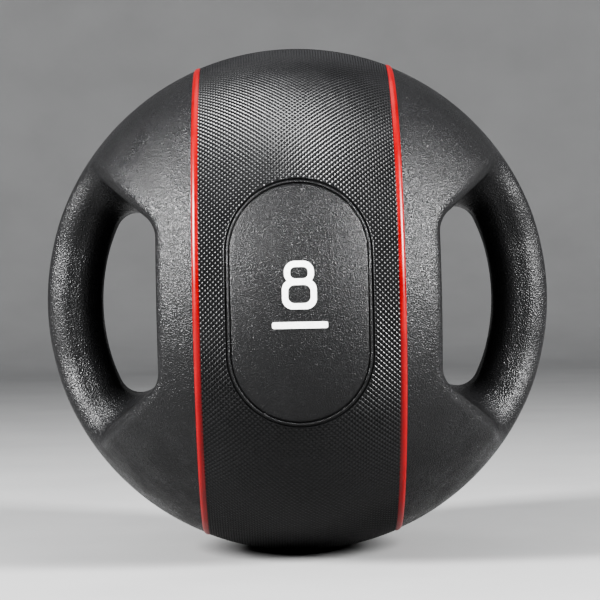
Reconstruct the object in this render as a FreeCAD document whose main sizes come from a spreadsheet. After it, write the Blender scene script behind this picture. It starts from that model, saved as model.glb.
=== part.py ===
import FreeCAD, Part
import math
import os

# ---------------------------------------------------------------------------
# Dual-grip medicine ball, millimetres.
#
# Origin at the ball's centre, +X out through the right-hand grip, +Z up, the
# marked panel facing -Y and the inflation valve facing +Y.
#
# From the outside in: two moulded rubber caps that carry the grips, a tread
# band round the middle, a raised colour stripe in each seam, an oval panel
# front and back, the rubber carcass in two halves, a cord winding, an inner
# bladder and the valve that runs out through the back panel.
# ---------------------------------------------------------------------------

doc = FreeCAD.newDocument("medicine_ball")
V = FreeCAD.Vector
Rot = FreeCAD.Rotation
Place = FreeCAD.Placement

sheet = doc.addObject("Spreadsheet::Sheet", "driving_dimensions")
sheet.Label = "driving dimensions"
DIMS = [
    ("ball_radius", 137.5, "outside of the two caps"),
    ("band_radius", 137.8, "crest of the tread band"),
    ("cover_inner", 132.5, "inside of the cover, outside of the carcass"),
    ("reach", 200.0, "length of the tools that trim the ball"),
    ("band_edge_deg", 21.43, "latitude where the band meets the stripe"),
    ("cap_edge_deg", 23.01, "latitude where the cap meets the stripe"),
    ("stripe_mid_deg", 22.22, "latitude of the stripe's crest"),
    ("bead_small", 2.2, "radius of the stripe's round crest"),
    ("bead_proud", 0.8, "height of the stripe over the caps"),
    ("carcass_half", 62.0, "flat ends of the carcass, either side of centre"),
    ("pocket_wall", 72.6, "inner wall of the finger pocket"),
    ("pocket_ref_x", 72.8, "a point on the pocket's sloping roof"),
    ("pocket_ref_z", 41.1, "a point on the pocket's sloping roof"),
    ("pocket_slope_deg", 39.7, "slope of the pocket's roof and floor"),
    ("pocket_corner", 12.0, "corner between pocket wall and roof"),
    ("pocket_lip", 7.0, "rounding where the pocket opens on the ball"),
    ("grip_outer", 137.2, "outside of the grip bar"),
    ("grip_inner", 107.5, "inside of the grip bar"),
    ("grip_half_width", 16.5, "half of the grip bar's width"),
    ("grip_root", 16.0, "rounding of the grip's roots"),
    ("grip_flare", 12.0, "sideways flare of the grip's roots"),
    ("panel_half_width", 36.5, "half width of the oval panel"),
    ("panel_straight", 25.5, "half of the panel's straight side"),
    ("panel_rim", 1.3, "width of the panel's raised rim"),
    ("panel_seat", 135.0, "floor of the panel's recess in the band"),
    ("panel_field", 137.3, "grained surface inside the rim"),
    ("panel_crest", 137.8, "top of the rim"),
    ("mark_top", 137.6, "outer surface of the printed weight mark"),
    ("figure_corner", 5.4, "outer corners of the figure"),
    ("bar_corner", 1.0, "ends of the bar under the figure"),
    ("cavity_axial", 50.0, "carcass cavity, half size along the grips"),
    ("cavity_radial", 108.0, "carcass cavity, half size across"),
    ("winding_wall", 1.2, "thickness of the cord winding"),
    ("bladder_wall", 2.0, "thickness of the bladder"),
    ("valve_radius", 7.0, "outside of the valve's stem"),
    ("valve_flange", 12.0, "outside of the valve's inner flange"),
    ("valve_flange_top", 107.0, "outer side of the flange"),
    ("valve_root", 101.0, "inner end of the valve"),
    ("plug_radius", 3.5, "valve plug"),
    ("plug_length", 18.0, "valve plug"),
    ("needle_radius", 1.3, "needle guide in the plug"),
    ("needle_depth", 10.0, "needle guide in the plug"),
    ("valve_face", 137.2, "outer end of the valve"),
]
for row, (alias, value, note) in enumerate(DIMS, start=1):
    sheet.set("A%d" % row, alias)
    sheet.set("B%d" % row, repr(value))
    sheet.set("C%d" % row, note)
    sheet.setAlias("B%d" % row, alias)
doc.recompute()


def dim(alias):
    return float(sheet.get(alias))


def bind(obj, **sizes):
    for prop, expression in sizes.items():
        words = expression
        for alias, _, _ in sorted(DIMS, key=lambda d: -len(d[0])):
            words = words.replace("[" + alias + "]", "driving_dimensions." + alias)
        obj.setExpression(prop, words)
    return obj


# Solids of revolution in this ball all turn about X.
ABOUT_X = Rot(V(0, 1, 0), 90)
ABOUT_MINUS_X = Rot(V(0, 1, 0), -90)


def sphere(name, radius):
    obj = doc.addObject("Part::Sphere", name)
    obj.Placement = Place(V(0, 0, 0), ABOUT_X)
    return bind(obj, Radius=radius)


def cone_beyond(name, latitude, right=True):
    """Everything past a latitude, measured from the mid plane at the centre."""
    obj = doc.addObject("Part::Cone", name)
    obj.Radius1 = 0
    obj.Placement = Place(V(0, 0, 0), ABOUT_X if right else ABOUT_MINUS_X)
    return bind(obj, Height="[reach]", Radius2="[reach] * tan(90 - %s)" % latitude)


def cylinder_y(name, radius, start, length, x=0.0, z=0.0, back=True):
    """A cylinder along +Y (back) or -Y (front)."""
    obj = doc.addObject("Part::Cylinder", name)
    sign = 1 if back else -1
    obj.Placement = Place(V(x, sign * start, z), Rot(V(1, 0, 0), -90 * sign))
    return bind(obj, Radius=radius, Height=length)


def box(name, low, high):
    obj = doc.addObject("Part::Box", name)
    obj.Length, obj.Width, obj.Height = [b - a for a, b in zip(low, high)]
    obj.Placement = Place(V(*low), Rot())
    return obj


def cut(name, base, tool):
    obj = doc.addObject("Part::Cut", name)
    obj.Base, obj.Tool = base, tool
    return obj


def cut_all(name, base, tools):
    for i, tool in enumerate(tools[:-1]):
        base = cut("%s_%d" % (name, i + 1), base, tool)
    return cut(name, base, tools[-1])


def common(name, *shapes):
    obj = doc.addObject("Part::MultiCommon", name)
    obj.Shapes = list(shapes)
    return obj


def fuse(name, *shapes, refine=True):
    obj = doc.addObject("Part::MultiFuse", name)
    obj.Shapes = list(shapes)
    obj.Refine = refine
    return obj


nodes = {}


def piece(node, obj):
    obj.Label = node
    nodes[node] = obj
    return obj


# --- The valve's passage, cut through every layer behind it -----------------
passage = fuse(
    "valve_passage",
    cylinder_y("passage_stem", "[valve_radius]", dim("valve_root"),
               "[reach] - [valve_root]"),
    cylinder_y("passage_flange", "[valve_flange]", dim("valve_root"),
               "[valve_flange_top] - [valve_root]"),
)


# --- Oval panel outline -------------------------------------------------------
def stadium(name, inset, back):
    """A prism with the panel's outline, from near the centre to outside."""
    side = 1 if back else -1
    width = "[panel_half_width] - %s" % inset
    up = cylinder_y(name + "_up", width, 90.0, "[reach] - 90", 0.0,
                    dim("panel_straight"), back)
    down = cylinder_y(name + "_down", width, 90.0, "[reach] - 90", 0.0,
                      -dim("panel_straight"), back)
    mid = doc.addObject("Part::Box", name + "_mid")
    bind(mid, Length="2 * (%s)" % width, Width="[reach] - 90",
         Height="2 * [panel_straight]")
    mid.Placement = Place(V(0, 90.0 if back else -dim("reach"),
                            -dim("panel_straight")), Rot())
    mid.setExpression("Placement.Base.x",
                      "-(driving_dimensions.panel_half_width - (%s))"
                      % inset.replace("[", "driving_dimensions.").replace("]", ""))
    return fuse(name, up, down, mid)


outline_front = stadium("outline_front", "0", False)
outline_back = stadium("outline_back", "0", True)
field_front = stadium("field_front", "[panel_rim]", False)
field_back = stadium("field_back", "[panel_rim]", True)

# --- Tread band --------------------------------------------------------------
band_blank = cut_all(
    "band_blank",
    sphere("band_outside", "[band_radius]"),
    [sphere("band_inside", "[cover_inner]"),
     cone_beyond("band_trim_right", "[band_edge_deg]", True),
     cone_beyond("band_trim_left", "[band_edge_deg]", False)],
)
seat_ball = sphere("panel_seat_ball", "[panel_seat]")
band = cut_all(
    "band",
    band_blank,
    [cut("recess_front", outline_front, seat_ball),
     cut("recess_back", outline_back, seat_ball),
     passage],
)
piece("centre_band", band)


# --- Panels ------------------------------------------------------------------
def panel(name, outline, field):
    body = common(name + "_body", outline, sphere(name + "_crest", "[panel_crest]"))
    seated = cut(name + "_seated", body, sphere(name + "_seat", "[panel_seat]"))
    return cut(name + "_trimmed", seated,
               cut(name + "_dish", field, sphere(name + "_field", "[panel_field]")))


piece("front_panel", panel("front", outline_front, field_front))
piece("back_panel", cut("back_with_hole", panel("back", outline_back, field_back),
                        passage))


# --- Weight mark: a plain figure 8 over a plain bar ----------------------------
def rounded_block(name, low, high, radius):
    """A prism through the front panel, a rectangle with round corners in outline."""
    (x0, z0), (x1, z1) = low, high
    r = dim(radius.strip("[]")) if "[" in radius else float(radius)
    parts = [box(name + "_wide", (x0, -150.0, z0 + r), (x1, -120.0, z1 - r)),
             box(name + "_tall", (x0 + r, -150.0, z0), (x1 - r, -120.0, z1))]
    for tag, x, z in (("a", x0 + r, z0 + r), ("b", x1 - r, z0 + r),
                      ("c", x1 - r, z1 - r), ("d", x0 + r, z1 - r)):
        parts.append(cylinder_y(name + "_" + tag, radius, 120.0, "30", x, z, False))
    return fuse(name, *parts)


figure = cut_all(
    "figure_eight",
    fuse("eight_blank",
         rounded_block("eight_top", (-7.5, 9.4), (7.5, 21.2), "[figure_corner]"),
         rounded_block("eight_low", (-8.7, -3.0), (8.7, 12.2), "[figure_corner]")),
    [rounded_block("eight_eye_top", (-4.4, 12.4), (4.4, 18.1), "2.4"),
     rounded_block("eight_eye_low", (-5.6, 0.1), (5.6, 9.1), "3.2")],
)
bar = rounded_block("mark_bar", (-14.0, -12.6), (14.0, -9.2), "[bar_corner]")
mark_prism = fuse("mark_prism", figure, bar)
mark = cut("mark", common("mark_outside", mark_prism,
                          sphere("mark_top_ball", "[mark_top]")),
           sphere("mark_field", "[panel_field]"))
piece("weight_mark", mark)


# --- Colour stripes ----------------------------------------------------------
def stripe(name, right):
    crest = doc.addObject("Part::Torus", name + "_crest")
    bind(crest,
         Radius1="([ball_radius] + [bead_proud] - [bead_small]) * cos([stripe_mid_deg])",
         Radius2="[bead_small]")
    crest.Placement = Place(V(0, 0, 0), ABOUT_X if right else ABOUT_MINUS_X)
    crest.setExpression(
        "Placement.Base.x",
        "%d * (driving_dimensions.ball_radius + driving_dimensions.bead_proud"
        " - driving_dimensions.bead_small) * sin(driving_dimensions.stripe_mid_deg)"
        % (1 if right else -1))
    whole = fuse(name + "_whole", sphere(name + "_ball", "[ball_radius]"), crest)
    hollow = cut(name + "_hollow", whole, sphere(name + "_core", "[cover_inner]"))
    zone = common(name + "_zone", hollow,
                  cone_beyond(name + "_inner", "[band_edge_deg]", right))
    return cut(name + "_ring", zone,
               cone_beyond(name + "_outer", "[cap_edge_deg]", right))


left_stripe = piece("left_stripe", stripe("left", False))
right_stripe = doc.addObject("Part::Mirroring", "right_stripe_whole")
right_stripe.Source = left_stripe
right_stripe.Normal = V(1, 0, 0)
piece("right_stripe", right_stripe)

# --- Carcass, winding and bladder ----------------------------------------------
carcass_ball = common(
    "carcass_ball",
    sphere("carcass_outside", "[cover_inner]"),
    bind(box("carcass_slab", (-62.0, -150.0, -150.0), (62.0, 150.0, 150.0)),
         Length="2 * [carcass_half]"),
)


def spheroid(name, shrink):
    obj = doc.addObject("Part::Ellipsoid", name)
    obj.Placement = Place(V(0, 0, 0), ABOUT_X)
    return bind(obj, Radius1="[cavity_axial] - (%s)" % shrink,
                Radius2="[cavity_radial] - (%s)" % shrink,
                Radius3="[cavity_radial] - (%s)" % shrink)


cavity = spheroid("carcass_cavity", "0")
carcass = cut_all("carcass", carcass_ball, [cavity, passage])
right_half = box("right_half", (0.0, -150.0, -150.0), (150.0, 150.0, 150.0))
left_half = box("left_half", (-150.0, -150.0, -150.0), (0.0, 150.0, 150.0))
piece("right_carcass", common("carcass_right", carcass, right_half))
piece("left_carcass", common("carcass_left", carcass, left_half))
piece("winding", cut_all("winding_shell", cavity,
                         [spheroid("winding_inside", "[winding_wall]"), passage]))
piece("bladder", cut_all(
    "bladder_shell", spheroid("bladder_outside", "[winding_wall]"),
    [spheroid("bladder_inside", "[winding_wall] + [bladder_wall]"), passage]))

# --- Valve ----------------------------------------------------------------------
# The flange lies inside the bladder's wall, the stem comes out flush with the
# back panel, and the plug is the soft core that the needle goes into.
housing_blank = fuse(
    "housing_blank",
    cylinder_y("housing_stem", "[valve_radius]", dim("valve_root"),
               "[valve_face] - [valve_root]"),
    cylinder_y("housing_flange", "[valve_flange]", dim("valve_root"),
               "[valve_flange_top] - [valve_root]"),
)
plug_start = dim("valve_face") - dim("plug_length")
plug_seat = cylinder_y("plug_seat", "[plug_radius]", plug_start, "[plug_length]")
air_way = cylinder_y("air_way", "[needle_radius]", dim("valve_root") - 1.0,
                     "[valve_face] - [plug_length] - [valve_root] + 1")
piece("valve_housing", cut_all("housing", housing_blank, [plug_seat, air_way]))

plug = doc.addObject("PartDesign::Body", "plug")
plug_sketch = plug.newObject("Sketcher::SketchObject", "plug_section")
top_plane = [p for p in plug.Origin.OriginFeatures if p.Role == "XY_Plane"][0]
plug_sketch.AttachmentSupport = [(top_plane, "")]
plug_sketch.MapMode = "FlatFace"
circle = plug_sketch.addGeometry(
    Part.Circle(V(0, 0, 0), V(0, 0, 1), dim("plug_radius")), False)
import Sketcher
plug_sketch.addConstraint(Sketcher.Constraint("Coincident", circle, 3, -1, 1))
grip_size = plug_sketch.addConstraint(
    Sketcher.Constraint("Radius", circle, dim("plug_radius")))
plug_sketch.setExpression("Constraints[%d]" % grip_size,
                          "driving_dimensions.plug_radius")
plug_pad = plug.newObject("PartDesign::Pad", "plug_pad")
plug_pad.Profile = plug_sketch
plug_pad.setExpression("Length", "driving_dimensions.plug_length")
needle_sketch = plug.newObject("Sketcher::SketchObject", "needle_section")
needle_sketch.AttachmentSupport = [(top_plane, "")]
needle_sketch.MapMode = "FlatFace"
circle = needle_sketch.addGeometry(
    Part.Circle(V(0, 0, 0), V(0, 0, 1), dim("needle_radius")), False)
needle_sketch.addConstraint(Sketcher.Constraint("Coincident", circle, 3, -1, 1))
needle_size = needle_sketch.addConstraint(
    Sketcher.Constraint("Radius", circle, dim("needle_radius")))
needle_sketch.setExpression("Constraints[%d]" % needle_size,
                            "driving_dimensions.needle_radius")
# The body's own Z runs from the plug's mouth inwards.
needle_pocket = plug.newObject("PartDesign::Pocket", "needle_guide")
needle_pocket.Profile = needle_sketch
needle_pocket.Reversed = True
needle_pocket.setExpression("Length", "driving_dimensions.needle_depth")
plug.Tip = needle_pocket
plug.Placement = Place(V(0, dim("valve_face"), 0), Rot(V(1, 0, 0), 90))
doc.recompute()
full_plug = math.pi * dim("plug_radius") ** 2 * dim("plug_length")
bored = full_plug - plug.Shape.Volume
assert abs(bored - math.pi * dim("needle_radius") ** 2 * dim("needle_depth")) < 0.01
piece("valve_insert", plug)

# --- Right cap with its grip ---------------------------------------------------
slope = math.radians(dim("pocket_slope_deg"))
roof_pivot = dim("pocket_ref_x") - dim("pocket_ref_z") / math.tan(slope)

cap_ball = common("cap_ball", sphere("cap_outside", "[ball_radius]"),
                  cone_beyond("cap_trim", "[cap_edge_deg]", True))
cap_shell = cut("cap_shell", cap_ball, carcass_ball)

pocket_block = box("pocket_block", (dim("pocket_wall"), -150.0, -150.0),
                   (160.0, 150.0, 150.0))
roof_block = doc.addObject("Part::Box", "roof_block")
roof_block.Length, roof_block.Width, roof_block.Height = 400.0, 400.0, 200.0
roof_block.Placement = Place(V(roof_pivot, 0, 0), Rot(
    V(0, 1, 0), -dim("pocket_slope_deg"))).multiply(
        Place(V(-150.0, -200.0, 0), Rot()))
floor_block = doc.addObject("Part::Mirroring", "floor_block")
floor_block.Source = roof_block
floor_block.Normal = V(0, 0, 1)
pocket_sharp = cut_all("pocket_sharp", pocket_block, [roof_block, floor_block])
doc.recompute()

corner_edges = []
for number, edge in enumerate(pocket_sharp.Shape.Edges, start=1):
    a, b = edge.Vertexes[0].Point, edge.Vertexes[-1].Point
    if abs(a.x - dim("pocket_wall")) < 0.01 and abs(b.x - dim("pocket_wall")) < 0.01 \
            and abs(a.z - b.z) < 0.01:
        corner_edges.append((number, dim("pocket_corner"), dim("pocket_corner")))
assert len(corner_edges) == 2
pocket = doc.addObject("Part::Fillet", "pocket")
pocket.Base = pocket_sharp
pocket.Edges = corner_edges

cap_open = cut("cap_open", cap_shell, pocket)
doc.recompute()

# The lip of the pocket: every edge that lies on the ball and on the pocket.
lip_edges = []
for number, edge in enumerate(cap_open.Shape.Edges, start=1):
    middle = edge.valueAt((edge.FirstParameter + edge.LastParameter) / 2)
    on_ball = abs(middle.Length - dim("ball_radius")) < 0.01
    ends_on_ball = all(abs(v.Point.Length - dim("ball_radius")) < 0.01
                       for v in edge.Vertexes)
    if on_ball and ends_on_ball and middle.x > dim("pocket_wall") - 0.5 \
            and pocket.Shape.distToShape(Part.Vertex(middle))[0] < 0.01:
        lip_edges.append((number, dim("pocket_lip"), dim("pocket_lip")))
cap_lipped = doc.addObject("Part::Fillet", "cap_lipped")
cap_lipped.Base = cap_open
cap_lipped.Edges = lip_edges
doc.recompute()

# The grip bar is lofted through sections that fan out from the line where the
# pocket's roof and floor would meet, and it swells into its roots.
outer, inner = dim("grip_outer"), dim("grip_inner")
root = dim("grip_root")


def reach_at(angle, radius):
    return (-roof_pivot * math.cos(angle)
            + math.sqrt(radius ** 2 - (roof_pivot * math.sin(angle)) ** 2))


low, high = math.radians(5.0), slope
for _ in range(60):
    mid_angle = (low + high) / 2
    gap = reach_at(mid_angle, inner - root) * math.sin(slope - mid_angle)
    low, high = (mid_angle, high) if gap > root else (low, mid_angle)
root_angle = (low + high) / 2
root_reach = reach_at(root_angle, inner - root)


def bar_section(angle):
    tilt = abs(angle)
    far = reach_at(tilt, outer)
    near = reach_at(tilt, inner)
    clamped = min(tilt, slope - math.radians(2.0))
    off = root_reach * math.sin(clamped - root_angle)
    if clamped > root_angle - math.radians(1.0) and abs(off) < root:
        near = min(near, root_reach * math.cos(clamped - root_angle)
                   + math.sqrt(root ** 2 - off ** 2))
    if tilt > slope - math.radians(2.0):
        near -= 1.1 * math.degrees(tilt - slope + math.radians(2.0))
    mid = (far + near) / 2
    rise = max(0.0, min(far * math.sin(slope - clamped), dim("grip_flare")))
    flare = dim("grip_flare")
    wide = dim("grip_half_width") + 0.85 * (
        flare - math.sqrt(flare ** 2 - (flare - rise) ** 2))
    half = (far - near) / 2
    points = []
    count = 28
    for i in range(count):
        t = 2 * math.pi * (i + 0.5) / count
        c, s = math.cos(t), math.sin(t)
        u = mid + half * math.copysign(abs(c) ** (2 / 2.4), c)
        v = wide * math.copysign(abs(s) ** (2 / 2.4), s)
        points.append(V(roof_pivot + u * math.cos(angle), v, u * math.sin(angle)))
    curve = Part.BSplineCurve()
    curve.interpolate(Points=points, PeriodicFlag=True)
    return Part.Wire([curve.toShape()])


SECTION_DEGREES = (0.0, 8.0, 16.0, 22.0, 26.5, 30.5, 33.5, 36.0, 38.2, 40.5, 43.0)
angles = ([-math.radians(a) for a in reversed(SECTION_DEGREES[1:])]
          + [math.radians(a) for a in SECTION_DEGREES])
sections = []
for i, angle in enumerate(angles):
    section = doc.addObject("Part::Feature", "grip_section_%02d" % i)
    section.Shape = bar_section(angle)
    sections.append(section)
grip = doc.addObject("Part::Loft", "grip")
grip.Sections = sections
grip.Solid = True
grip.Ruled = False
right_cap = fuse("right_cap_whole", cap_lipped, grip, refine=False)
piece("right_cap", right_cap)

left_cap = doc.addObject("Part::Mirroring", "left_cap_whole")
left_cap.Source = right_cap
left_cap.Normal = V(1, 0, 0)
piece("left_cap", left_cap)

# --- Check and write --------------------------------------------------------------
doc.recompute()
bad = [o.Name for o in doc.Objects if "Invalid" in o.State or "Error" in o.State]
assert not bad, "failed objects: %s" % bad
total = 0.0
for node, obj in nodes.items():
    shape = obj.Shape
    assert not shape.isNull(), node + " is empty"
    assert shape.isValid(), node + " is not valid"
    b = shape.optimalBoundingBox(False, False)
    print("%-14s solids %d volume %9.1f cc  x %.2f..%.2f  y %.2f..%.2f  z %.2f..%.2f"
          % (node, len(shape.Solids), shape.Volume / 1000.0, b.XMin, b.XMax,
             b.YMin, b.YMax, b.ZMin, b.ZMax))
    total += shape.Volume
print("all pieces %.1f cc" % (total / 1000.0))

os.makedirs("parts", exist_ok=True)
for old in os.listdir("parts"):
    if old.endswith(".step") and old[:-5] not in nodes:
        os.remove(os.path.join("parts", old))
for node, obj in nodes.items():
    obj.Shape.exportStep(os.path.join("parts", node + ".step"))
print("wrote %d pieces" % len(nodes))
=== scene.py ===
import math

import bmesh
import bpy
import numpy as np
from mathutils import Matrix, Vector


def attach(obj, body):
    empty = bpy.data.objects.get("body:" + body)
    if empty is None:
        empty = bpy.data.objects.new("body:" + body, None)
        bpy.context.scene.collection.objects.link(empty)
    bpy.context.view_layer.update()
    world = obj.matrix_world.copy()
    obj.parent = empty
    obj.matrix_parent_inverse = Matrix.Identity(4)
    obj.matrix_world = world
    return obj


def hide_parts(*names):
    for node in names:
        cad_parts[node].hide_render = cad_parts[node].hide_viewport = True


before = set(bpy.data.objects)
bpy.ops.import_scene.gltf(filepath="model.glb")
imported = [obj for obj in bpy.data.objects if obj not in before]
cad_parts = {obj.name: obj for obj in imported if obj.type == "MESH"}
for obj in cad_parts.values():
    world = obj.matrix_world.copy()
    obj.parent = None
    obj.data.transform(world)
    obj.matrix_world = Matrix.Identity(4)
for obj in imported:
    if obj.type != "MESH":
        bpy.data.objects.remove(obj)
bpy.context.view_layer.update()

MM = 0.001
scene = bpy.context.scene

# Shared sizes of the ball, in millimetres, the same as the CAD pieces they stand for.
BALL = 137.5
CREST = 137.8
STRIPE_LAT = math.radians(22.22)
PANEL_A = 36.5
PANEL_B = 25.5
FIELD = 137.3


# --- mesh helpers -----------------------------------------------------------------
def make_mesh(name, verts, faces):
    """verts (n, 3) in millimetres; faces a list of index arrays, each (m, k)."""
    mesh = bpy.data.meshes.new(name)
    verts = np.asarray(verts, np.float64) * MM
    mesh.vertices.add(len(verts))
    mesh.vertices.foreach_set("co", verts.astype(np.float32).ravel())
    faces = [np.asarray(f, np.int32) for f in faces if len(f)]
    loops = np.concatenate([f.ravel() for f in faces])
    totals = np.concatenate([np.full(len(f), f.shape[1], np.int32) for f in faces])
    starts = np.concatenate([[0], np.cumsum(totals)[:-1]]).astype(np.int32)
    mesh.loops.add(len(loops))
    mesh.loops.foreach_set("vertex_index", loops)
    mesh.polygons.add(len(totals))
    mesh.polygons.foreach_set("loop_start", starts)
    mesh.update(calc_edges=True)
    mesh.validate()
    return mesh


def add_object(name, mesh):
    obj = bpy.data.objects.new(name, mesh)
    scene.collection.objects.link(obj)
    return obj


def smooth(mesh, angle=None):
    mesh.shade_smooth()
    if angle is not None:
        mesh.set_sharp_from_angle(angle=math.radians(angle))


def fix_normals(mesh):
    bm = bmesh.new()
    bm.from_mesh(mesh)
    bmesh.ops.recalc_face_normals(bm, faces=bm.faces)
    bm.to_mesh(mesh)
    bm.free()


def merge_close(mesh, distance=1e-6):
    bm = bmesh.new()
    bm.from_mesh(mesh)
    bmesh.ops.remove_doubles(bm, verts=bm.verts, dist=distance)
    bmesh.ops.dissolve_degenerate(bm, dist=distance / 10, edges=bm.edges)
    bmesh.ops.recalc_face_normals(bm, faces=bm.faces)
    bm.to_mesh(mesh)
    bm.free()


def ring_grid(rows, cols, closed_rows=False):
    """Quads between consecutive rings of `cols` points each."""
    r = np.arange(rows if closed_rows else rows - 1)
    c = np.arange(cols)
    R, C = np.meshgrid(r, c, indexing="ij")
    R2, C2 = (R + 1) % rows, (C + 1) % cols
    return np.stack([R * cols + C, R * cols + C2, R2 * cols + C2, R2 * cols + C],
                    -1).reshape(-1, 4)


def cut_with(obj, tools):
    for tool in tools:
        mod = obj.modifiers.new("cut", "BOOLEAN")
        mod.operation = "DIFFERENCE"
        mod.object = tool
        mod.solver = "MANIFOLD"
    bpy.context.view_layer.update()
    dg = bpy.context.evaluated_depsgraph_get()
    mesh = bpy.data.meshes.new_from_object(obj.evaluated_get(dg))
    obj.modifiers.clear()
    old = obj.data
    obj.data = mesh
    bpy.data.meshes.remove(old)
    for tool in tools:
        data = tool.data
        bpy.data.objects.remove(tool)
        bpy.data.meshes.remove(data)


def stadium_points(half_width, straight, count):
    """Points round a stadium, evenly spaced, starting at its right-hand side."""
    perimeter = 4 * straight + 2 * math.pi * half_width
    out = []
    for i in range(count):
        s = (i + 0.5) / count * perimeter
        if s < straight:
            out.append((half_width, s))
        elif s < straight + math.pi * half_width:
            a = (s - straight) / half_width
            out.append((half_width * math.cos(a), straight + half_width * math.sin(a)))
        elif s < 3 * straight + math.pi * half_width:
            out.append((-half_width, straight - (s - straight - math.pi * half_width)))
        elif s < 3 * straight + 2 * math.pi * half_width:
            a = (s - 3 * straight - math.pi * half_width) / half_width + math.pi
            out.append((half_width * math.cos(a), -straight + half_width * math.sin(a)))
        else:
            out.append((half_width, s - perimeter))
    return np.array(out)


def stadium_ring(base, offset):
    """The stadium's points moved outwards by an offset, keeping their count."""
    x, z = base[:, 0], base[:, 1]
    zc = np.clip(z, -PANEL_B, PANEL_B)
    nx, nz = x, z - zc
    length = np.maximum(np.hypot(nx, nz), 1e-9)
    return np.stack([nx / length * (PANEL_A + offset),
                     zc + nz / length * (PANEL_A + offset)], -1)


def on_ball(xz, radius, front=True):
    y = np.sqrt(np.maximum(radius ** 2 - xz[:, 0] ** 2 - xz[:, 1] ** 2, 0.0))
    return np.stack([xz[:, 0], -y if front else y, xz[:, 1]], -1)


# --- the caps, as a smooth solid sampled on a grid -----------------------------------
WALL, ROOF_X = 72.6, 23.3
ROOF_SIN, ROOF_COS = math.sin(math.radians(39.7)), math.cos(math.radians(39.7))


def round_and(a, b, r):
    return (np.minimum(-r, np.maximum(a, b))
            + np.hypot(np.maximum(r + a, 0), np.maximum(r + b, 0)))


def round_or(a, b, r):
    return (np.maximum(r, np.minimum(a, b))
            - np.hypot(np.maximum(r - a, 0), np.maximum(r - b, 0)))


def cap_distance(x, y, z):
    ball = np.sqrt(x * x + y * y + z * z) - BALL
    pocket = round_and(WALL - x, np.abs(z) * ROOF_COS - (x - ROOF_X) * ROOF_SIN, 4.6)
    across = np.hypot(x, z)
    t = np.clip((np.abs(z) - 26.0) / 44.0, 0.0, 1.0)
    flare = 13.0 * t * t * (3 - 2 * t)
    bar = round_and(107.5 - across, np.abs(y) - 16.8 - flare, 12.5)
    solid = round_or(-pocket, bar, 15.5)
    # The lip is rounder along the grip than where the pocket meets the ball.
    near_bar = np.clip(1.0 - (np.abs(y) - 14.0) / 56.0, 0.0, 1.0)
    near_bar = near_bar * near_bar * (3 - 2 * near_bar)
    along_roof = np.clip((x - 72.0) / 14.0, 0.0, 1.0)
    lip = 4.0 + 2.6 * along_roof + 4.5 * near_bar
    return round_and(solid, ball, lip)


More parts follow.
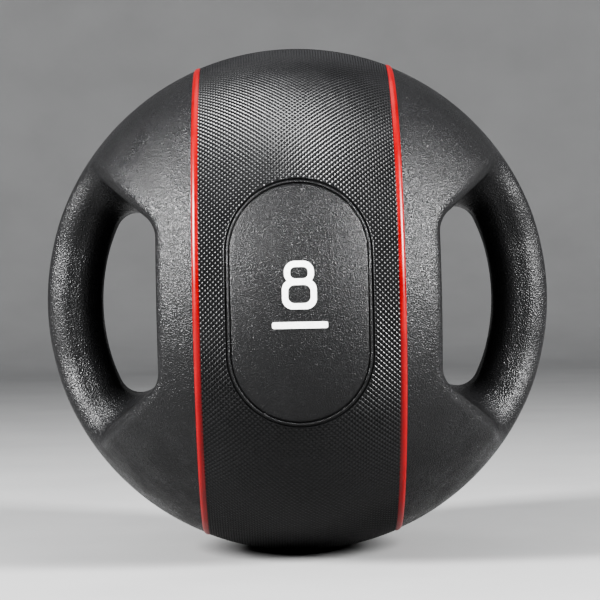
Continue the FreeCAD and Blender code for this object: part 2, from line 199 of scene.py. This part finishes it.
def cap_surface(pitch):
    x = np.arange(52.0, 140.0 + pitch, pitch)
    y = np.arange(-140.0, 140.0 + pitch, pitch)
    z = y.copy()
    X, Y, Z = np.meshgrid(x, y, z, indexing="ij")
    F = cap_distance(X, Y, Z)
    inside = F < 0
    nx, ny, nz = F.shape
    count = np.zeros((nx - 1, ny - 1, nz - 1), np.int8)
    corners = [(i, j, k) for i in (0, 1) for j in (0, 1) for k in (0, 1)]
    for i, j, k in corners:
        count += inside[i:nx - 1 + i, j:ny - 1 + j, k:nz - 1 + k]
    cells = np.argwhere((count > 0) & (count < 8))
    total = np.zeros((len(cells), 3))
    hits = np.zeros(len(cells))
    for a in corners:
        for axis in range(3):
            if a[axis]:
                continue
            b = list(a)
            b[axis] = 1
            pa, pb = cells + np.array(a), cells + np.array(b)
            fa, fb = F[tuple(pa.T)], F[tuple(pb.T)]
            crosses = (fa < 0) != (fb < 0)
            t = np.where(crosses, fa / np.where(crosses, fa - fb, 1), 0)
            point = pa + t[:, None] * (pb - pa)
            total += point * crosses[:, None]
            hits += crosses
    verts = total / hits[:, None] * pitch + np.array([x[0], y[0], z[0]])
    index = np.full((nx - 1, ny - 1, nz - 1), -1, np.int64)
    index[tuple(cells.T)] = np.arange(len(cells))
    quads = []
    for axis in range(3):
        lo = [slice(None)] * 3
        hi = [slice(None)] * 3
        lo[axis], hi[axis] = slice(0, -1), slice(1, None)
        change = inside[tuple(lo)] != inside[tuple(hi)]
        at = np.argwhere(change)
        u, v = (axis + 1) % 3, (axis + 2) % 3
        shape = np.array(index.shape)
        ok = ((at[:, u] > 0) & (at[:, u] < shape[u]) & (at[:, v] > 0)
              & (at[:, v] < shape[v]))
        at = at[ok]
        du, dv = np.eye(3, dtype=int)[u], np.eye(3, dtype=int)[v]
        ids = [index[tuple((at - o).T)] for o in (du + dv, dv, 0 * du, du)]
        # order round the axis: (u-1,v-1), (u,v-1), (u,v), (u-1,v)
        quad = np.stack([ids[0], ids[1], ids[2], ids[3]], -1)
        outward = inside[tuple(at.T)]
        quad = np.where(outward[:, None], quad, quad[:, ::-1])
        quads.append(quad)
    quads = np.concatenate(quads)
    assert (quads >= 0).all()
    edges = np.concatenate([quads[:, [0, 1]], quads[:, [1, 2]], quads[:, [2, 3]],
                            quads[:, [3, 0]]])
    key = np.sort(edges, 1)
    uniq, counts = np.unique(key, axis=0, return_counts=True)
    rim = np.unique(uniq[counts == 1])
    fixed = np.zeros(len(verts), bool)
    fixed[rim] = True
    degree = np.bincount(uniq.ravel(), minlength=len(verts)).astype(float)

    def project(p, times):
        for _ in range(times):
            e = 0.02
            d = cap_distance(*p.T)
            g = np.stack([(cap_distance(*(p + o).T) - cap_distance(*(p - o).T)) / (2 * e)
                          for o in np.eye(3) * e], -1)
            g2 = np.maximum((g * g).sum(1), 0.25)
            step = (d / g2)[:, None] * g
            size = np.linalg.norm(step, axis=1)
            step *= np.minimum(1.0, 0.8 * pitch / np.maximum(size, 1e-9))[:, None]
            p = p - step
        return p, g / np.maximum(np.linalg.norm(g, axis=1), 1e-9)[:, None]

    rim_x = 52.4
    rim_r = math.sqrt(BALL ** 2 - rim_x ** 2)

    def hold_rim(p):
        flat = np.hypot(p[rim, 1], p[rim, 2])
        p[rim, 0] = rim_x
        p[rim, 1] *= rim_r / flat
        p[rim, 2] *= rim_r / flat
        return p

    verts, normal = project(verts, 3)
    verts = hold_rim(verts)
    for _ in range(6):
        mean = np.zeros_like(verts)
        for c in range(3):
            mean[:, c] = (np.bincount(uniq[:, 0], verts[uniq[:, 1], c], len(verts))
                          + np.bincount(uniq[:, 1], verts[uniq[:, 0], c], len(verts)))
        mean /= degree[:, None]
        move = mean - verts
        move -= (move * normal).sum(1)[:, None] * normal
        move[fixed] = 0
        verts = verts + 0.5 * move
        verts, normal = project(verts, 1)
        verts = hold_rim(verts)
    verts, normal = project(verts, 2)
    verts = hold_rim(verts)

    # Close the back: down the seam's side, along the carcass and across its flat end.
    order = rim[np.argsort(np.arctan2(verts[rim, 2], verts[rim, 1]))]
    n = len(order)
    angle = np.arctan2(verts[order, 2], verts[order, 1])
    back = [(51.95, 122.1), (57.0, 119.8), (62.1, 117.3), (62.1, 80.0), (62.1, 40.0)]
    extra = [np.stack([np.full(n, bx), br * np.cos(angle), br * np.sin(angle)], -1)
             for bx, br in back]
    first = len(verts)
    all_verts = np.concatenate([verts] + extra + [[[62.1, 0, 0]]])
    rings = [order] + [first + i * n + np.arange(n) for i in range(len(back))]
    side = []
    for a, b in zip(rings[:-1], rings[1:]):
        side.append(np.stack([a, b, np.roll(b, -1), np.roll(a, -1)], -1))
    centre = len(all_verts) - 1
    fan = np.stack([rings[-1], np.full(n, centre), np.roll(rings[-1], -1)], -1)
    return all_verts, [quads, np.concatenate(side)], fan


cap_verts, cap_quads, cap_fan = cap_surface(1.5)
caps = {}
for side_name, sign in (("right", 1.0), ("left", -1.0)):
    verts = cap_verts * np.array([sign, 1, 1])
    mesh = make_mesh(side_name + "_cap_skin", verts, cap_quads + [cap_fan])
    fix_normals(mesh)
    smooth(mesh, 50)
    obj = add_object(side_name + "_cap_skin", mesh)
    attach(obj, "root")
    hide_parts(side_name + "_cap")
    caps[side_name] = obj

# --- the knurled band ---------------------------------------------------------------
COLS = 596
ROWS = 37
STEP = 1.45 / BALL
VALLEY = CREST - 0.54
FLAT = 0.36


def at_lattice(i, j, radius):
    theta = np.asarray(i) * (2 * math.pi / COLS)
    alpha = np.asarray(j) * STEP
    return np.stack([radius * np.sin(alpha), -radius * np.cos(alpha) * np.cos(theta),
                     radius * np.cos(alpha) * np.sin(theta)], -1)


def band_mesh():
    I, J = np.meshgrid(np.arange(COLS), np.arange(-ROWS, ROWS + 1), indexing="ij")
    corner = (I + J) % 2 == 1
    # ROWS is odd, so the outermost row has corners where i is even.
    corner_id = np.full(corner.shape, -1, np.int64)
    corner_id[corner] = np.arange(corner.sum())
    cverts = at_lattice(I[corner], J[corner], VALLEY)
    inner = (~corner) & (np.abs(J) < ROWS)
    ci, cj = I[inner], J[inner]
    n = len(ci)
    offsets = ((1, 0), (0, 1), (-1, 0), (0, -1))
    base = len(cverts)
    top = [at_lattice(ci + FLAT * a, cj + FLAT * b, CREST) for a, b in offsets]
    tverts = np.stack(top, 1).reshape(-1, 3)
    tid = base + np.arange(n)[:, None] * 4 + np.arange(4)[None, :]
    cid = np.stack([corner_id[(ci + a) % COLS, cj + b + ROWS] for a, b in offsets], 1)
    faces = [tid]
    for k in range(4):
        m = (k + 1) % 4
        faces.append(np.stack([tid[:, k], cid[:, k], cid[:, m], tid[:, m]], 1))
    verts = [cverts, tverts]
    total = base + len(tverts)
    # Zigzag edges left and right, then the smooth inside of the band.
    rims = {}
    for sign in (-1, 1):
        ids = [corner_id[i, (sign * (ROWS if (i + ROWS) % 2 == 1 else ROWS - 1)) + ROWS]
               for i in range(COLS)]
        rims[sign] = np.array(ids)
    assert min(r.min() for r in rims.values()) >= 0
    inside_rows = np.linspace(-(ROWS - 0.6), ROWS - 0.6, 10)
    rings = []
    for j in inside_rows:
        rings.append(total + np.arange(COLS))
        verts.append(at_lattice(np.arange(COLS), np.full(COLS, j), 133.0))
        total += COLS
    chain = [rims[-1]] + rings + [rims[1]]
    for a, b in zip(chain[:-1], chain[1:]):
        faces.append(np.stack([a, b, np.roll(b, -1), np.roll(a, -1)], 1))
    quads = np.concatenate(faces)
    return np.concatenate(verts), quads


bverts, bquads = band_mesh()
band_data = make_mesh("knurled_band", bverts, [bquads])
fix_normals(band_data)
band = add_object("knurled_band", band_data)

outline = stadium_points(PANEL_A, PANEL_B, 260)


def prism(name, offset, front):
    ring = stadium_ring(outline, offset)
    n = len(ring)
    near = np.stack([ring[:, 0], np.full(n, -100.0 if front else 100.0), ring[:, 1]], -1)
    far = near.copy()
    far[:, 1] = -150.0 if front else 150.0
    verts = np.concatenate([near, far])
    side = ring_grid(2, n)
    mesh = bpy.data.meshes.new(name)
    mesh.from_pydata((verts * MM).tolist(), [], side.tolist()
                     + [list(range(n)), list(range(2 * n - 1, n - 1, -1))])
    fix_normals(mesh)
    return add_object(name, mesh)


cut_with(band, [prism("cut_front", 1.05, True), prism("cut_back", 1.05, False)])
smooth(band.data, 52)
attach(band, "root")
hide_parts("centre_band")


# --- lip round each panel: a smooth raised line in the band with a groove inside it ----
def swept_ring(name, profile, front):
    """A closed section, (offset, radius) pairs, carried round the panel's outline."""
    rings = [on_ball(stadium_ring(outline, o), r, front) for o, r in profile]
    n = len(outline)
    verts = np.concatenate(rings)
    quads = ring_grid(len(profile), n, closed_rows=True)
    mesh = make_mesh(name, verts, [quads])
    fix_normals(mesh)
    smooth(mesh, 60)
    return add_object(name, mesh)


def arc_profile(centre, half, base, height, count):
    return [(centre - half * math.cos(math.pi * k / (count - 1)),
             base + height * math.sin(math.pi * k / (count - 1))) for k in range(count)]


lip_profile = ([(-0.4, 134.6), (-0.3, 136.75), (0.3, 136.78), (0.52, 136.95)]
               + arc_profile(1.02, 0.46, 137.0, 0.55, 9)
               + [(1.62, 136.6), (1.62, 134.6)])
for tag, front in (("front", True), ("back", False)):
    lip = swept_ring("panel_lip_" + tag, lip_profile, front)
    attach(lip, "root")


# --- the panels: raised rim, fine groove, then a gently domed field -------------------
def panel_mesh(name, front):
    depth = [(0.0, 134.7), (0.0, 136.6)]
    for k in range(11):
        t = math.pi * k / 10
        depth.append((0.68 - 0.66 * math.cos(t), 136.95 + 0.83 * math.sin(t)))
    depth += [(1.5, 136.78), (1.78, 136.8), (2.0, 137.0), (2.35, 137.2), (2.9, FIELD)]
    d = 4.5
    while d < PANEL_A - 1.0:
        depth.append((d, FIELD))
        d += 2.0
    depth.append((PANEL_A - 0.001, FIELD))
    rings = [on_ball(stadium_ring(outline, -d), r, front) for d, r in depth]
    n = len(outline)
    verts = np.concatenate(rings + [[[0.0, -118.0 if front else 118.0, 0.0]]])
    quads = ring_grid(len(depth), n)
    fan = np.stack([np.arange(n), np.full(n, len(verts) - 1), (np.arange(n) + 1) % n], -1)
    mesh = make_mesh(name, verts, [quads, fan])
    merge_close(mesh, 2e-5)
    return mesh


front_panel = add_object("front_panel_skin", panel_mesh("front_panel_skin", True))
back_panel = add_object("back_panel_skin", panel_mesh("back_panel_skin", False))


def turned(name, profile, count, place):
    """A closed solid of revolution about +Y: (radius, y) pairs from axis to axis."""
    verts, rings = [], []
    for r, y in profile:
        if r < 1e-6:
            rings.append(np.array([len(verts)] * count))
            verts.append((0.0, y, 0.0))
        else:
            rings.append(len(verts) + np.arange(count))
            for k in range(count):
                a = 2 * math.pi * k / count
                verts.append((r * math.cos(a), y, r * math.sin(a)))
    quads, tris = [], []
    for a, b in zip(rings[:-1], rings[1:]):
        a2, b2 = np.roll(a, -1), np.roll(b, -1)
        if a[0] == a[1]:
            tris.append(np.stack([a, b, b2], -1))
        elif b[0] == b[1]:
            tris.append(np.stack([a, b, a2], -1))
        else:
            quads.append(np.stack([a, b, b2, a2], -1))
    mesh = make_mesh(name, np.array(verts) + np.array(place), quads + tris)
    fix_normals(mesh)
    return mesh


valve_hole = add_object("cut_valve", turned(
    "cut_valve", [(0, 110), (7.25, 110), (7.25, 150), (0, 150)], 96, (0, 0, 0)))
cut_with(back_panel, [valve_hole])
for obj, node in ((front_panel, "front_panel"), (back_panel, "back_panel")):
    smooth(obj.data, 62)
    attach(obj, "root")
    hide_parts(node)

# --- valve: a dished rubber button with the needle's hole in its middle ----------------
button = [(0, 126.5), (7.1, 126.5), (7.1, 136.6), (7.0, 136.95), (6.7, 137.16),
          (6.3, 137.2), (5.6, 137.16), (5.3, 136.95), (5.1, 136.6), (4.6, 136.45),
          (3.9, 136.42), (3.75, 136.35), (3.72, 135.4), (0, 135.4)]
housing = add_object("valve_button", turned("valve_button", button, 96, (0, 0, 0)))
smooth(housing.data, 40)
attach(housing, "root")
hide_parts("valve_housing")
plug_profile = [(0, 119.4), (3.5, 119.4), (3.5, 136.0), (3.4, 136.25), (3.15, 136.36),
                (2.4, 136.36), (1.75, 136.1), (1.42, 135.5), (1.3, 134.9),
                (1.3, 127.2), (0, 127.2)]
plug = add_object("valve_plug", turned("valve_plug", plug_profile, 72, (0, 0, 0)))
smooth(plug.data, 40)
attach(plug, "root")
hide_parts("valve_insert")


# --- stripes: half-round beads let into the seams ---------------------------------------
def stripe(name, sign):
    around, section = 720, 24
    small = 2.62
    middle = BALL + 0.8 - small
    ring_r, ring_x = middle * math.cos(STRIPE_LAT), middle * math.sin(STRIPE_LAT)
    u = np.arange(around) * 2 * math.pi / around
    verts = []
    for k in range(section):
        t = 2 * math.pi * k / section
        out, along = small * math.cos(t), small * math.sin(t)
        r = ring_r + out * math.cos(STRIPE_LAT) - along * math.sin(STRIPE_LAT)
        x = ring_x + out * math.sin(STRIPE_LAT) + along * math.cos(STRIPE_LAT)
        verts.append(np.stack([np.full(around, sign * x), r * np.cos(u), r * np.sin(u)],
                              -1))
    mesh = make_mesh(name, np.concatenate(verts),
                     [ring_grid(section, around, closed_rows=True)])
    fix_normals(mesh)
    smooth(mesh)
    return add_object(name, mesh)


for side_name, sign in (("left", -1.0), ("right", 1.0)):
    bead = stripe(side_name + "_stripe_bead", sign)
    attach(bead, "root")
    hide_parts(side_name + "_stripe")


# --- materials ------------------------------------------------------------------------
class Look:
    """A Principled material with a small tree of procedural nodes."""

    def __init__(self, name, color, roughness, specular=0.5):
        self.mat = bpy.data.materials.new(name)
        self.mat.use_nodes = True
        self.tree = self.mat.node_tree
        self.bsdf = self.tree.nodes["Principled BSDF"]
        self.bsdf.inputs["Base Color"].default_value = (*color, 1.0)
        self.bsdf.inputs["Roughness"].default_value = roughness
        self.bsdf.inputs["Specular IOR Level"].default_value = specular
        self.coord = self.tree.nodes.new("ShaderNodeTexCoord")

    def node(self, kind, **values):
        n = self.tree.nodes.new(kind)
        for key, value in values.items():
            if hasattr(n, key):
                setattr(n, key, value)
            else:
                n.inputs[key.replace("_", " ")].default_value = value
        return n

    def wire(self, a, b):
        self.tree.links.new(a, b)

    def noise(self, scale, detail=2.0, roughness=0.5, distortion=0.0):
        n = self.node("ShaderNodeTexNoise", Scale=scale, Detail=detail,
                      Roughness=roughness, Distortion=distortion)
        self.wire(self.coord.outputs["Object"], n.inputs["Vector"])
        return n.outputs["Fac"]

    def voronoi(self, scale, feature="F1", randomness=1.0, warp=None, amount=0.0):
        n = self.tree.nodes.new("ShaderNodeTexVoronoi")
        n.feature = feature
        n.inputs["Scale"].default_value = scale
        n.inputs["Randomness"].default_value = randomness
        source = self.coord.outputs["Object"]
        if warp is not None:
            noise = self.tree.nodes.new("ShaderNodeTexNoise")
            noise.inputs["Scale"].default_value = warp
            noise.inputs["Detail"].default_value = 1.0
            self.wire(source, noise.inputs["Vector"])
            mix = self.tree.nodes.new("ShaderNodeVectorMath")
            mix.operation = "MULTIPLY_ADD"
            self.wire(noise.outputs["Color"], mix.inputs[0])
            mix.inputs[1].default_value = (amount, amount, amount)
            self.wire(source, mix.inputs[2])
            source = mix.outputs[0]
        self.wire(source, n.inputs["Vector"])
        return n.outputs["Distance"]

    def ramp(self, fac, stops):
        n = self.tree.nodes.new("ShaderNodeValToRGB")
        n.color_ramp.elements[0].position = stops[0][0]
        n.color_ramp.elements[1].position = stops[-1][0]
        for p, _ in stops[1:-1]:
            n.color_ramp.elements.new(p)
        for e, (p, c) in zip(n.color_ramp.elements, stops):
            e.position = p
            e.color = (*c, 1.0) if isinstance(c, tuple) else (c, c, c, 1.0)
        self.wire(fac, n.inputs["Fac"])
        return n.outputs["Color"]

    def math(self, op, a, b=None, clamp=False):
        n = self.tree.nodes.new("ShaderNodeMath")
        n.operation = op
        n.use_clamp = clamp
        for k, v in enumerate((a, b)):
            if v is None:
                continue
            if isinstance(v, (int, float)):
                n.inputs[k].default_value = v
            else:
                self.wire(v, n.inputs[k])
        return n.outputs[0]

    def bump(self, height, distance, strength=1.0, normal=None):
        n = self.tree.nodes.new("ShaderNodeBump")
        n.inputs["Strength"].default_value = strength
        n.inputs["Distance"].default_value = distance
        self.wire(height, n.inputs["Height"])
        if normal is not None:
            self.wire(normal, n.inputs["Normal"])
        return n.outputs["Normal"]

    def set(self, socket, value):
        self.wire(value, self.bsdf.inputs[socket])


def grained(name, cell, depth, tint=1.0):
    """Black rubber with a leather grain: pebbles about `cell` metres across."""
    look = Look(name, (0.01, 0.01, 0.0105), 0.34, 0.42)
    scale = 1.0 / cell
    pebbles = look.noise(scale * 2.0, 1.0, 0.5, 0.3)
    fine = look.noise(scale * 3.4, 1.0, 0.5)
    height = look.math("ADD", look.math("MULTIPLY", pebbles, 0.75),
                       look.math("MULTIPLY", fine, 0.25))
    slow = look.noise(28.0, 2.0, 0.5)
    first = look.bump(slow, 0.0006, 0.35)
    look.set("Normal", look.bump(height, depth, 1.0, first))
    patch = look.noise(45.0, 4.0, 0.6)
    # Base colour mixes a random patch tone with painted shade: the grain's valleys are painted
    # darker than its tops.
    tone = look.math("ADD", look.math("MULTIPLY", patch, 0.4),
                     look.math("MULTIPLY", height, 0.6))
    low = tuple(tint * c for c in (0.0020, 0.0020, 0.0022))
    high = tuple(tint * c for c in (0.0135, 0.0135, 0.0142))
    look.set("Base Color", look.ramp(tone, [(0.36, low), (0.62, high)]))
    # Worn tops of the grain shine more than its valleys.
    look.set("Roughness", look.ramp(tone, [(0.36, 0.56), (0.50, 0.34), (0.62, 0.22)]))
    return look.mat


cap_mat = grained("cap_rubber_grain", 0.00150, 0.00064)
panel_mat = grained("panel_rubber_grain", 0.00115, 0.00052)


def knurl_rubber():
    look = Look("band_rubber_knurl", (0.01, 0.01, 0.0105), 0.36, 0.42)
    patch = look.noise(40.0, 4.0, 0.6)
    fine = look.noise(1800.0, 2.0, 0.5)
    tone = look.math("ADD", look.math("MULTIPLY", patch, 0.65),
                     look.math("MULTIPLY", fine, 0.35))
    look.set("Base Color", look.ramp(tone, [(0.3, (0.0035, 0.0035, 0.0038)),
                                            (0.72, (0.0095, 0.0095, 0.0102))]))
    look.set("Roughness", look.ramp(tone, [(0.25, 0.30), (0.75, 0.42)]))
    look.set("Normal", look.bump(fine, 0.00006, 0.6))
    return look.mat


def stripe_rubber():
    look = Look("stripe_rubber_red", (0.5, 0.012, 0.010), 0.34)
    patch = look.noise(55.0, 3.0, 0.55)
    fine = look.noise(900.0, 2.0, 0.5)
    tone = look.math("ADD", look.math("MULTIPLY", patch, 0.7),
                     look.math("MULTIPLY", fine, 0.3))
    look.set("Base Color", look.ramp(tone, [(0.3, (0.17, 0.0010, 0.0012)),
                                            (0.7, (0.27, 0.0022, 0.0022))]))
    look.set("Roughness", look.ramp(tone, [(0.25, 0.28), (0.75, 0.42)]))
    look.set("Normal", look.bump(fine, 0.00005, 0.5))
    return look.mat


def ink():
    look = Look("weight_mark_ink", (0.82, 0.82, 0.81), 0.55)
    grain = look.voronoi(1 / 0.00105, "SMOOTH_F1", 1.0, warp=430.0, amount=0.00095)
    fine = look.noise(1200.0, 3.0, 0.6)
    look.set("Normal", look.bump(grain, 0.00008, 0.7))
    tone = look.math("ADD", look.math("MULTIPLY", grain, 0.5),
                     look.math("MULTIPLY", fine, 0.5))
    look.set("Base Color", look.ramp(tone, [(0.25, (0.70, 0.70, 0.69)),
                                            (0.6, (0.86, 0.86, 0.85))]))
    look.set("Roughness", look.ramp(fine, [(0.3, 0.5), (0.7, 0.65)]))
    return look.mat


def plain_rubber(name, tone_scale, color):
    look = Look(name, color, 0.5)
    patch = look.noise(tone_scale, 4.0, 0.6)
    low = tuple(c * 0.7 for c in color)
    high = tuple(c * 1.3 for c in color)
    look.set("Base Color", look.ramp(patch, [(0.3, low), (0.7, high)]))
    look.set("Roughness", look.ramp(patch, [(0.3, 0.42), (0.7, 0.58)]))
    look.set("Normal", look.bump(look.noise(900.0, 2.0), 0.00008, 0.6))
    return look.mat


def wound_cord():
    look = Look("winding_cord_turns", (0.62, 0.58, 0.50), 0.8)
    wave = look.tree.nodes.new("ShaderNodeTexWave")
    wave.wave_type = "BANDS"
    wave.bands_direction = "DIAGONAL"
    wave.inputs["Scale"].default_value = 260.0
    wave.inputs["Distortion"].default_value = 6.0
    wave.inputs["Detail"].default_value = 2.0
    look.wire(look.coord.outputs["Object"], wave.inputs["Vector"])
    look.set("Normal", look.bump(wave.outputs["Fac"], 0.0004, 0.8))
    look.set("Base Color", look.ramp(wave.outputs["Fac"],
                                     [(0.2, (0.42, 0.38, 0.31)),
                                      (0.8, (0.68, 0.64, 0.56))]))
    return look.mat


band_mat = knurl_rubber()
red_mat = stripe_rubber()
ink_mat = ink()
valve_mat = plain_rubber("valve_rubber_plain", 300.0, (0.018, 0.018, 0.018))
plug_mat = plain_rubber("plug_rubber_soft", 400.0, (0.055, 0.055, 0.055))
carcass_mat = plain_rubber("carcass_rubber_plain", 60.0, (0.03, 0.03, 0.03))
bladder_mat = plain_rubber("bladder_rubber_plain", 60.0, (0.04, 0.035, 0.035))
cord_mat = wound_cord()


def dress(obj, material):
    obj.data.materials.clear()
    obj.data.materials.append(material)


for obj in caps.values():
    dress(obj, cap_mat)
dress(band, band_mat)
for tag in ("front", "back"):
    dress(bpy.data.objects["panel_lip_" + tag], band_mat)
dress(front_panel, panel_mat)
dress(back_panel, panel_mat)
dress(housing, valve_mat)
dress(plug, plug_mat)
for side_name in ("left", "right"):
    dress(bpy.data.objects[side_name + "_stripe_bead"], red_mat)
for node, material in (("weight_mark", ink_mat), ("left_carcass", carcass_mat),
                       ("right_carcass", carcass_mat), ("winding", cord_mat),
                       ("bladder", bladder_mat)):
    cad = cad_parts[node]
    for slot in cad.material_slots:
        slot.material = material

# --- floor and backdrop: a round paper floor that curves up into a wall all round -----
GROUND = -CREST
curve = [(0.02, 0.0), (0.6, 0.0), (1.5, 0.0), (2.3, 0.0)]
for k in range(1, 13):
    a = math.radians(90 * k / 12)
    curve.append((2.3 + 1.0 * math.sin(a), 1.0 - 1.0 * math.cos(a)))
curve.append((3.3, 3.0))
AROUND = 96
sverts = [(r * math.cos(2 * math.pi * k / AROUND), r * math.sin(2 * math.pi * k / AROUND),
           GROUND * MM + h) for r, h in curve for k in range(AROUND)]
sfaces = [list(range(AROUND))] + ring_grid(len(curve), AROUND).tolist()
sweep_mesh = bpy.data.meshes.new("studio_sweep")
sweep_mesh.from_pydata(sverts, [], sfaces)
sweep_mesh.shade_smooth()
sweep = add_object("studio_sweep", sweep_mesh)
look = Look("studio_sweep_paper", (0.26, 0.26, 0.26), 0.85, 0.2)
paper = look.noise(9.0, 4.0, 0.5)
look.set("Base Color", look.ramp(paper, [(0.3, (0.25, 0.25, 0.25)),
                                         (0.7, (0.27, 0.27, 0.27))]))
sweep_mesh.materials.append(look.mat)

# --- light ---------------------------------------------------------------------------------
world = bpy.data.worlds.new("soft_room")
scene.world = world
world.use_nodes = True
world.node_tree.nodes["Background"].inputs[0].default_value = (0.9, 0.93, 1.0, 1.0)
world.node_tree.nodes["Background"].inputs[1].default_value = 0.26


def softbox(name, place, aim, width, height, power, color=(1, 1, 1)):
    data = bpy.data.lights.new(name, "AREA")
    data.shape = "RECTANGLE"
    data.size, data.size_y = width, height
    data.energy = power
    data.color = color
    obj = bpy.data.objects.new(name, data)
    scene.collection.objects.link(obj)
    obj.location = place
    obj.rotation_euler = (Vector(aim) - Vector(place)).to_track_quat(
        "-Z", "Y").to_euler()
    return obj


softbox("key_left", (-1.30, -0.68, 0.78), (0, 0, 0), 0.38, 0.68, 100)
softbox("key_right", (1.30, -0.72, 0.68), (0, 0, 0), 0.36, 0.66, 86)
softbox("top_soft", (0.0, 0.55, 1.85), (0, 0, 0), 1.8, 1.4, 9)

# --- camera ----------------------------------------------------------------------------------
DISTANCE = 1.375
elevation, swing, roll = math.radians(0.8), math.radians(0.42), math.radians(1.2)
cam_data = bpy.data.cameras.new("camera")
cam_data.sensor_width = 36.0
cam_data.lens = 149.3
cam_data.clip_start = 0.05
cam_data.clip_end = 50.0
cam = bpy.data.objects.new("camera", cam_data)
scene.collection.objects.link(cam)
place = DISTANCE * Vector((-math.sin(swing) * math.cos(elevation),
                           -math.cos(swing) * math.cos(elevation),
                           math.sin(elevation)))
turn = (-place).to_track_quat("-Z", "Y").to_matrix().to_4x4()
cam.matrix_world = (Matrix.Translation(place) @ turn
                    @ Matrix.Rotation(-roll, 4, "Z"))
cam_data.shift_x = 2.5 / 600
cam_data.shift_y = -0.5 / 600
scene.camera = cam
scene.view_settings.look = "AgX - High Contrast"
